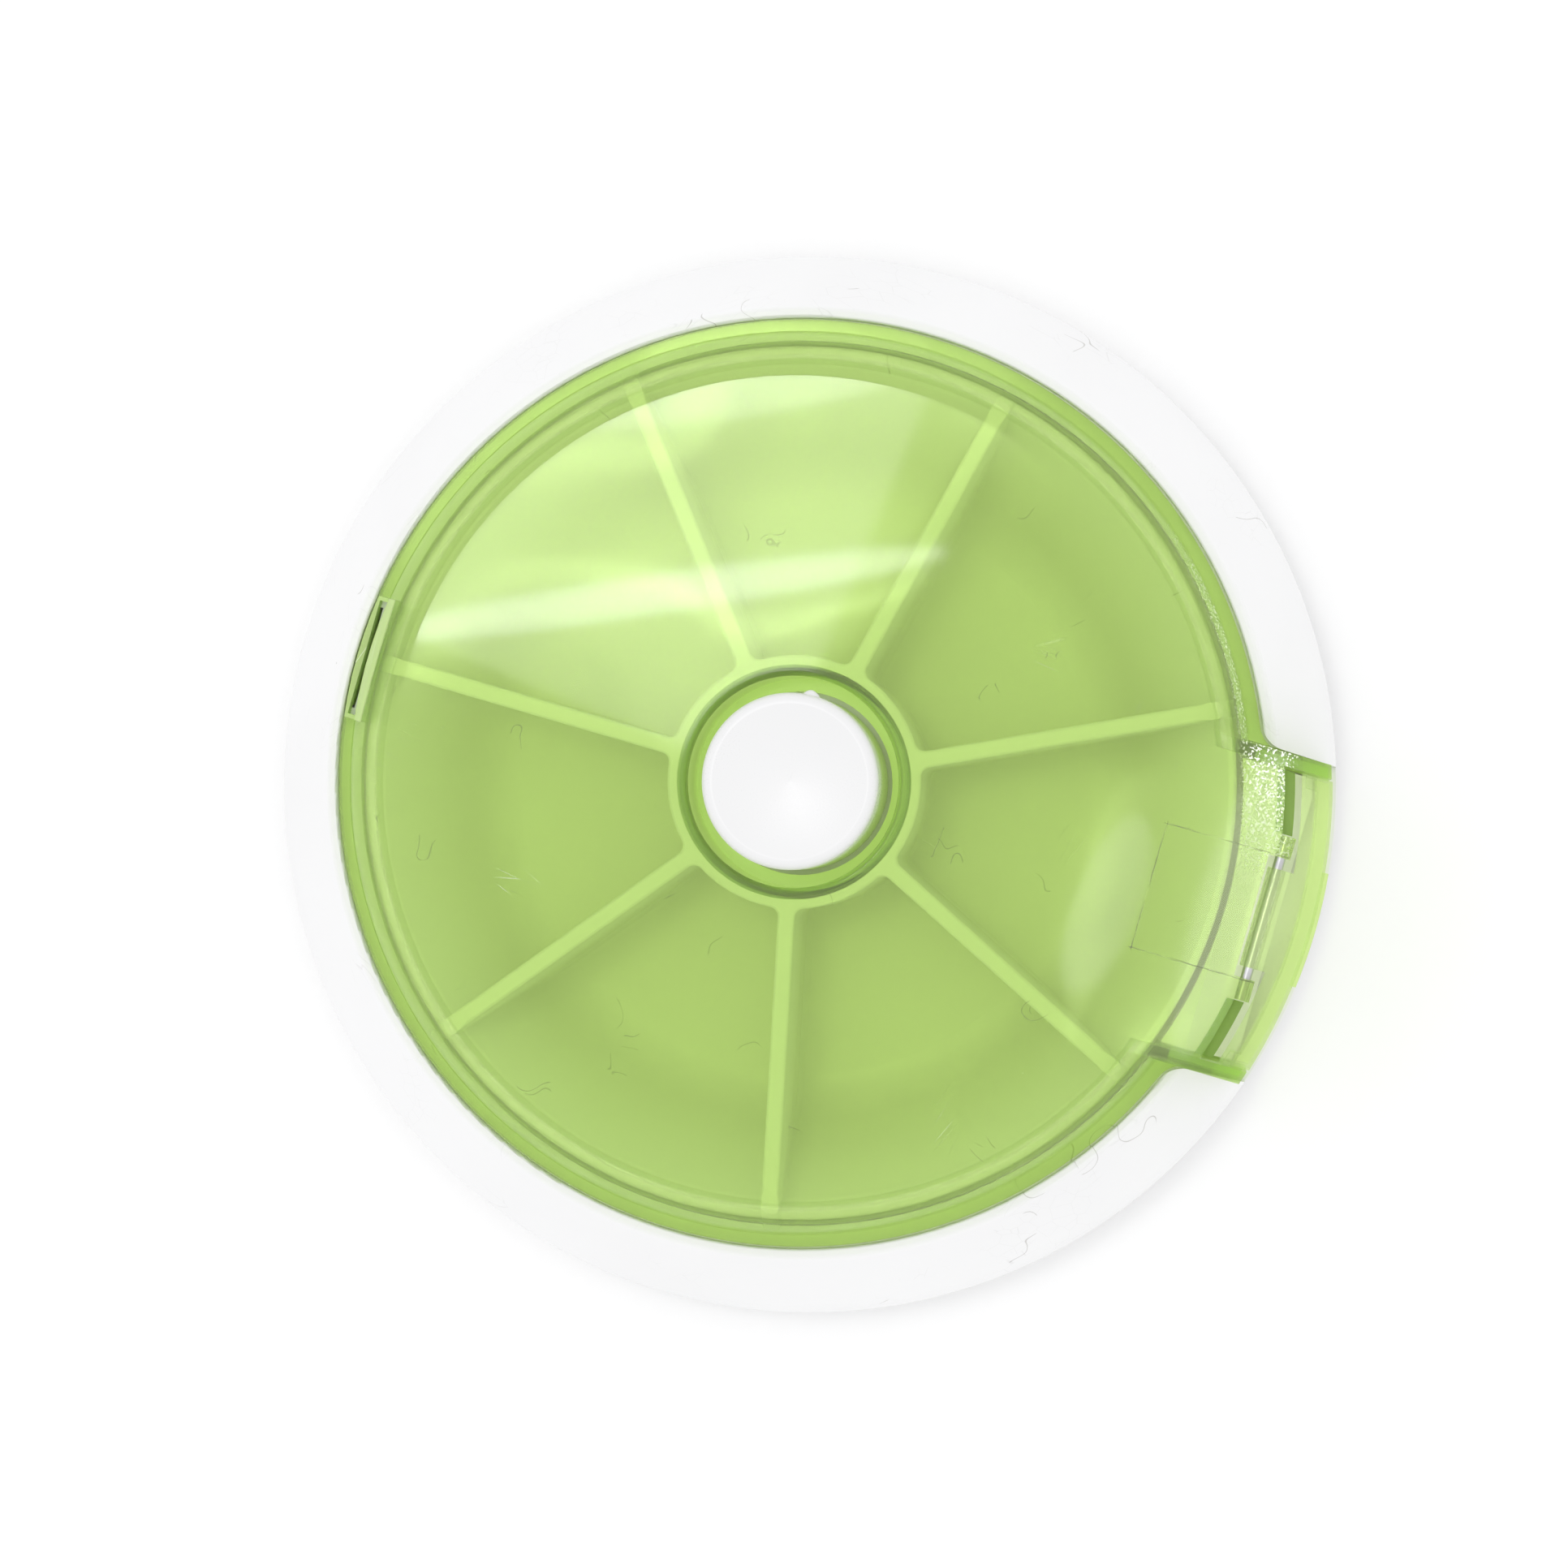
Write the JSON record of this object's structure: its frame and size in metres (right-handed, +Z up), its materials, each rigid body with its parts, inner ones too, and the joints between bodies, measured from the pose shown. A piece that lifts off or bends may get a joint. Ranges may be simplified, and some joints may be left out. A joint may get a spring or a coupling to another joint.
{
  "type": "push-button pill organizer",
  "caption": "Round pill organizer: white case, clear green cover with a spout and flap, and a dished centre button that turns the compartment tray one step.",
  "frame": {"origin": "centre of the case's underside, at the level the rubber feet stand on", "axes": "+Z up along the button's axis, -Y towards the spout, +X to the right when the spout faces the viewer"},
  "size_m": [0.09, 0.09, 0.0244],
  "materials": {
    "case_white": "moulded, satin gloss",
    "button_white": "moulded, satin gloss",
    "tray_white": "moulded, satin",
    "clear_green": "clear tinted, polished, fine scratches",
    "acetal": "moulded, slippery",
    "spring_steel": "drawn wire and strip",
    "screw_steel": "zinc plated",
    "foot_rubber": "matt"
  },
  "bodies": {
    "base": {"base_pan": "case_white", "case_ring": "case_white", "case_screws": "screw_steel", "foot_pads": "foot_rubber", "rotor_keeper": "acetal", "thrust_washer": "acetal", "detent_spring": "spring_steel", "detent_screw": "screw_steel", "tray_glide_ring": "acetal", "plunger_clip": "spring_steel", "return_spring": "spring_steel"},
    "drive": {"index_rotor": "acetal", "pawl_ring": "acetal"},
    "tray": {"pill_tray": "tray_white", "ratchet_ring": "acetal"},
    "button": {"button_cap": "button_white", "plunger": "acetal"},
    "cover": {"cover": "clear_green", "door_hinge_pin": "spring_steel"},
    "door": {"spout_door": "clear_green"}
  },
  "joints": [
    {"name": "drive_turn", "type": "hinge", "parent": "base", "child": "drive", "pos_m": [0, 0, 0.003], "axis": [0, 0, 1], "range_deg": [0, 51.43]},
    {"name": "button_press", "type": "slide", "parent": "base", "child": "button", "axis": [0, 0, -1], "range_m": [0, 0.004], "stiffness_N_per_m": 300, "springref_m": -0.004, "deforming": ["return_spring"]},
    {"name": "tray_turn", "type": "hinge", "parent": "drive", "child": "tray", "pos_m": [0, 0, 0.005], "axis": [0, 0, 1], "continuous": true, "deforming": ["pawl_ring", "detent_spring"]},
    {"name": "cover_lift", "type": "slide", "parent": "base", "child": "cover", "axis": [0, 0, 1], "range_m": [0, 0.03]},
    {"name": "door_swing", "type": "hinge", "parent": "cover", "child": "door", "pos_m": [0, -0.0403, 0.0208], "axis": [-1, 0, 0], "range_deg": [0, 90]}
  ],
  "couplings": [
    {"joint": "drive_turn", "follows": "button_press", "rad_per_m": 224.39}
  ]
}
